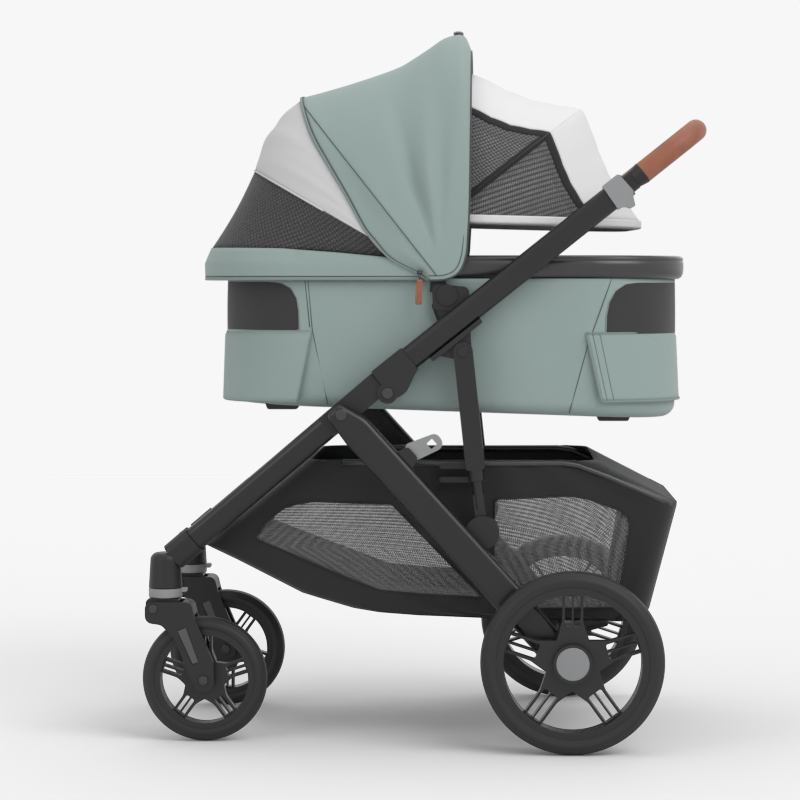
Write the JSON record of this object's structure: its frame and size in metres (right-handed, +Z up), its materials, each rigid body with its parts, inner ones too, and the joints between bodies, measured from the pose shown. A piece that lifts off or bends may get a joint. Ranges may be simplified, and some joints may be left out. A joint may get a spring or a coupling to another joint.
{
  "type": "folding pram",
  "caption": "Folding pram: tubular wheeled chassis with swivelling front wheels, a lift-off bassinet with hood and sunshade, and a storage basket.",
  "frame": {"origin": "on the ground under the centre of the overall box of the unfolded pram", "axes": "+Z up, -X the way the pram is pushed, -Y its left side"},
  "size_m": [0.9142, 0.6482, 1.1593],
  "materials": {
    "frame_tube": "black anodised, satin",
    "black_plastic": "fine grained",
    "grey_plastic": "satin",
    "steel": "blackened",
    "tan_leather": "smooth, stitched",
    "tyre": "foam filled, matt",
    "sage_fabric": "melange weave",
    "charcoal_fabric": "mesh and weave",
    "pale_fabric": "light weave",
    "mattress_fabric": "quilted knit"
  },
  "bodies": {
    "upper_frame": {"upper_tube_left": "frame_tube", "upper_tube_right": "frame_tube", "fold_housings": "black_plastic", "seat_mounts": "black_plastic"},
    "handlebar": {"handle_tube": "frame_tube", "handle_grip": "tan_leather", "grip_collars": "black_plastic"},
    "handle_button": {"handle_button": "black_plastic"},
    "front_frame": {"front_leg_left": "frame_tube", "front_leg_right": "frame_tube", "leg_hubs": "black_plastic", "front_crossbar": "frame_tube", "swivel_sockets": "black_plastic", "frame_pins": "steel"},
    "rear_frame": {"rear_leg_left": "frame_tube", "rear_leg_right": "frame_tube", "axle_housings": "black_plastic", "rear_axle_beam": "frame_tube", "leg_brackets": "black_plastic", "basket_bag": "charcoal_fabric"},
    "struts": {"strut_left": "frame_tube", "strut_right": "frame_tube", "basket_brackets": "black_plastic"},
    "brake_pedal": {"brake_pedal": "black_plastic"},
    "storage_latch": {"storage_latch": "grey_plastic"},
    "bassinet": {"bassinet_tub": "sage_fabric", "bassinet_rim": "black_plastic", "bassinet_mattress": "mattress_fabric", "bassinet_hubs": "black_plastic", "bassinet_feet": "black_plastic", "canopy_base": "sage_fabric", "canopy_rear_fabric": "pale_fabric"},
    "canopy_front": {"canopy_front_bow": "steel", "canopy_fabric": "sage_fabric", "sunshade_fabric": "pale_fabric"},
    "canopy_rear": {"canopy_rear_bow": "steel"},
    "sunshade_middle": {"sunshade_middle_rib": "steel"},
    "sunshade_front": {"sunshade_front_rib": "steel"},
    "slider_left": {"fold_slider_left": "grey_plastic"},
    "swivel_left": {"swivel_knuckle_left": "black_plastic"},
    "swivel_lock_left": {"swivel_lock_left": "grey_plastic"},
    "fork_left": {"fork_arm_left": "black_plastic", "front_axle_left": "steel"},
    "front_wheel_left": {"front_tyre_left": "tyre", "front_rim_left": "black_plastic"},
    "rear_wheel_left": {"rear_tyre_left": "tyre", "rear_rim_left": "black_plastic", "hub_cap_left": "grey_plastic"},
    "bassinet_button_left": {"bassinet_button_left": "grey_plastic"},
    "slider_right": {"fold_slider_right": "grey_plastic"},
    "swivel_right": {"swivel_knuckle_right": "black_plastic"},
    "swivel_lock_right": {"swivel_lock_right": "grey_plastic"},
    "fork_right": {"fork_arm_right": "black_plastic", "front_axle_right": "steel"},
    "front_wheel_right": {"front_tyre_right": "tyre", "front_rim_right": "black_plastic"},
    "rear_wheel_right": {"rear_tyre_right": "tyre", "rear_rim_right": "black_plastic", "hub_cap_right": "grey_plastic"},
    "bassinet_button_right": {"bassinet_button_right": "grey_plastic"}
  },
  "joints": [
    {"name": "handle_slide", "type": "slide", "parent": "upper_frame", "child": "handlebar", "axis": [0.7815, 0, 0.6239], "range_m": [0, 0.1]},
    {"name": "handle_button_press", "type": "slide", "parent": "handlebar", "child": "handle_button", "axis": [0.7815, 0, 0.6239], "range_m": [0, 0.004], "stiffness_N_per_m": 600},
    {"name": "fold_release_left", "type": "slide", "parent": "upper_frame", "child": "slider_left", "axis": [-0.7815, 0, -0.6239], "range_m": [0, 0.015], "stiffness_N_per_m": 800, "springref_m": -0.01},
    {"name": "fold_release_right", "type": "slide", "parent": "upper_frame", "child": "slider_right", "axis": [-0.7815, 0, -0.6239], "range_m": [0, 0.015], "stiffness_N_per_m": 800, "springref_m": -0.01},
    {"name": "frame_fold", "type": "hinge", "parent": "upper_frame", "child": "front_frame", "pos_m": [-0.05482, 0, 0.57012], "axis": [0, -1, 0], "range_deg": [0, 84]},
    {"name": "rear_fold", "type": "hinge", "parent": "front_frame", "child": "rear_frame", "pos_m": [-0.12764, 0, 0.53668], "axis": [0, 1, 0], "range_deg": [0, 56], "deforming": ["basket_bag"]},
    {"name": "strut_fold", "type": "hinge", "parent": "upper_frame", "child": "struts", "pos_m": [0.06559, 0, 0.63631], "axis": [0, -1, 0], "range_deg": [0, 37.2]},
    {"name": "brake_pedal_press", "type": "hinge", "parent": "rear_frame", "child": "brake_pedal", "pos_m": [0.24, 0, 0.146], "axis": [0, 1, 0], "range_deg": [0, 16]},
    {"name": "storage_latch_turn", "type": "hinge", "parent": "rear_frame", "child": "storage_latch", "pos_m": [-0.01884, -0.265, 0.47209], "axis": [0, 1, 0], "range_deg": [0, 60]},
    {"name": "bassinet_lift", "type": "slide", "parent": "upper_frame", "child": "bassinet", "axis": [-0.342, 0, 0.9397], "range_m": [0, 0.3]},
    {"name": "bassinet_button_press_left", "type": "slide", "parent": "bassinet", "child": "bassinet_button_left", "axis": [0, 1, 0], "range_m": [0, 0.003], "stiffness_N_per_m": 600},
    {"name": "fork_swivel_left", "type": "hinge", "parent": "front_frame", "child": "swivel_left", "pos_m": [-0.4195, -0.188, 0], "axis": [0, 0, 1], "continuous": true},
    {"name": "swivel_lock_turn_left", "type": "hinge", "parent": "front_frame", "child": "swivel_lock_left", "pos_m": [-0.4195, -0.188, 0], "axis": [0, 0, 1], "range_deg": [0, 20]},
    {"name": "suspension_left", "type": "hinge", "parent": "swivel_left", "child": "fork_left", "pos_m": [-0.437, -0.188, 0.218], "axis": [0, -1, 0], "range_deg": [0, 5], "stiffness_Nm_per_rad": 60, "springref_deg": -6.88},
    {"name": "front_wheel_spin_left", "type": "hinge", "parent": "fork_left", "child": "front_wheel_left", "pos_m": [-0.3555, -0.188, 0.102], "axis": [0, 1, 0], "continuous": true},
    {"name": "rear_wheel_spin_left", "type": "hinge", "parent": "rear_frame", "child": "rear_wheel_left", "pos_m": [0.24, -0.303, 0.146], "axis": [0, 1, 0], "continuous": true},
    {"name": "bassinet_button_press_right", "type": "slide", "parent": "bassinet", "child": "bassinet_button_right", "axis": [0, -1, 0], "range_m": [0, 0.003], "stiffness_N_per_m": 600},
    {"name": "fork_swivel_right", "type": "hinge", "parent": "front_frame", "child": "swivel_right", "pos_m": [-0.4195, 0.188, 0], "axis": [0, 0, 1], "continuous": true},
    {"name": "swivel_lock_turn_right", "type": "hinge", "parent": "front_frame", "child": "swivel_lock_right", "pos_m": [-0.4195, 0.188, 0], "axis": [0, 0, 1], "range_deg": [0, 20]},
    {"name": "suspension_right", "type": "hinge", "parent": "swivel_right", "child": "fork_right", "pos_m": [-0.437, 0.188, 0.218], "axis": [0, -1, 0], "range_deg": [0, 5], "stiffness_Nm_per_rad": 60, "springref_deg": -6.88},
    {"name": "front_wheel_spin_right", "type": "hinge", "parent": "fork_right", "child": "front_wheel_right", "pos_m": [-0.3555, 0.188, 0.102], "axis": [0, 1, 0], "continuous": true},
    {"name": "rear_wheel_spin_right", "type": "hinge", "parent": "rear_frame", "child": "rear_wheel_right", "pos_m": [0.24, 0.303, 0.146], "axis": [0, 1, 0], "continuous": true},
    {"name": "canopy_front_fold", "type": "hinge", "parent": "bassinet", "child": "canopy_front", "pos_m": [0.0233, 0, 0.7578], "axis": [0, -1, 0], "range_deg": [0, 56], "deforming": ["canopy_fabric"]},
    {"name": "canopy_rear_fold", "type": "hinge", "parent": "bassinet", "child": "canopy_rear", "pos_m": [0.0233, 0, 0.7578], "axis": [0, -1, 0], "range_deg": [0, 23], "deforming": ["canopy_rear_fabric"]},
    {"name": "sunshade_front_fold", "type": "hinge", "parent": "canopy_front", "child": "sunshade_front", "pos_m": [0.0325, 0, 0.854], "axis": [0, -1, 0], "range_deg": [0, 50], "deforming": ["sunshade_fabric"]},
    {"name": "sunshade_middle_fold", "type": "hinge", "parent": "canopy_front", "child": "sunshade_middle", "pos_m": [0.0325, 0, 0.854], "axis": [0, -1, 0], "range_deg": [0, 17.6]}
  ],
  "couplings": [
    {"joint": "rear_fold", "follows": "frame_fold", "ratio": 0.665},
    {"joint": "strut_fold", "follows": "frame_fold", "ratio": 0.44},
    {"joint": "canopy_rear_fold", "follows": "canopy_front_fold", "ratio": 0.41},
    {"joint": "sunshade_middle_fold", "follows": "sunshade_front_fold", "ratio": 0.35}
  ]
}
